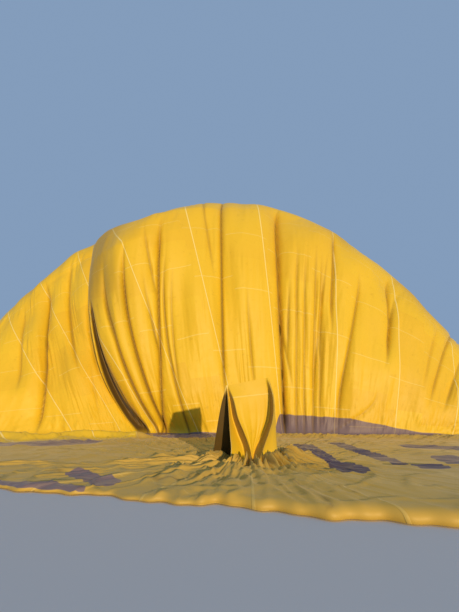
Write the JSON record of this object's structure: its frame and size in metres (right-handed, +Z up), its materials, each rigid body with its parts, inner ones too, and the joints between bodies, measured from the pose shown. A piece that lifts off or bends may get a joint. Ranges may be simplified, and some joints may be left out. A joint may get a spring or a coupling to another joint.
{
  "type": "hot air balloon",
  "caption": "Yellow hot air balloon being emptied: a slack dome of cloth on the ground, its crown end collapsed in front and its mouth wired to an upright wicker basket.",
  "frame": {"origin": "on the ground under the middle of the whole balloon's box", "axes": "+Y from the collapsed crown end to the basket, +Z up, +X to the right seen from the crown end"},
  "size_m": [21.7986, 24.944, 9.2092],
  "materials": {
    "yellow_cloth": "coated nylon, satin",
    "ground_cloth": "coated nylon, satin",
    "wicker": "woven, varnished",
    "plywood": "varnished",
    "hide": "worn suede",
    "padding": "padded cover",
    "steel": "stainless",
    "alloy": "milled",
    "red_paint": "gloss"
  },
  "bodies": {
    "balloon": {"basket_floor": "plywood", "basket_rim": "hide", "basket_runner_1": "plywood", "basket_runner_2": "plywood", "basket_runner_3": "plywood", "basket_walls": "wicker", "dome_gore_01": "yellow_cloth", "dome_gore_02": "yellow_cloth", "dome_gore_03": "yellow_cloth", "dome_gore_04": "yellow_cloth", "dome_gore_05": "yellow_cloth", "dome_gore_06": "yellow_cloth", "dome_gore_07": "yellow_cloth", "dome_gore_08": "yellow_cloth", "dome_gore_09": "yellow_cloth", "dome_gore_10": "yellow_cloth", "dome_gore_11": "yellow_cloth", "dome_gore_12": "yellow_cloth", "fire_extinguisher": "red_paint", "flying_wires_front_left": "steel", "flying_wires_front_right": "steel", "flying_wires_rear_left": "steel", "flying_wires_rear_right": "steel", "front_panel_1": "ground_cloth", "front_panel_2": "ground_cloth", "front_panel_3": "ground_cloth", "front_panel_4": "ground_cloth", "gas_cylinder_front_left": "padding", "gas_cylinder_front_right": "padding", "gas_cylinder_rear_left": "padding", "gas_cylinder_rear_right": "padding", "karabiner_front_left": "steel", "karabiner_front_right": "steel", "karabiner_rear_left": "steel", "karabiner_rear_right": "steel", "load_frame": "steel", "under_gore_1": "ground_cloth", "under_gore_2": "ground_cloth", "under_gore_3": "ground_cloth", "under_gore_4": "ground_cloth", "under_gore_5": "ground_cloth", "under_gore_6": "ground_cloth", "under_gore_7": "ground_cloth", "under_gore_8": "ground_cloth", "upright_front_left": "padding", "upright_front_right": "padding", "upright_rear_left": "padding", "upright_rear_right": "padding", "vent_fold": "yellow_cloth"},
    "ring": {"gimbal_ring": "steel"},
    "burner": {"burner_block": "alloy", "burner_can_left": "steel", "burner_can_right": "steel"}
  },
  "joints": [
    {"name": "ring_tilt", "type": "hinge", "parent": "balloon", "child": "ring", "pos_m": [0.2999, 11.8495, 2.02], "axis": [0, 1, 0], "range_deg": [-20, 20]},
    {"name": "burner_tilt", "type": "hinge", "parent": "ring", "child": "burner", "pos_m": [0.2999, 11.8495, 2.02], "axis": [1, 0, 0], "range_deg": [-20, 20]}
  ]
}
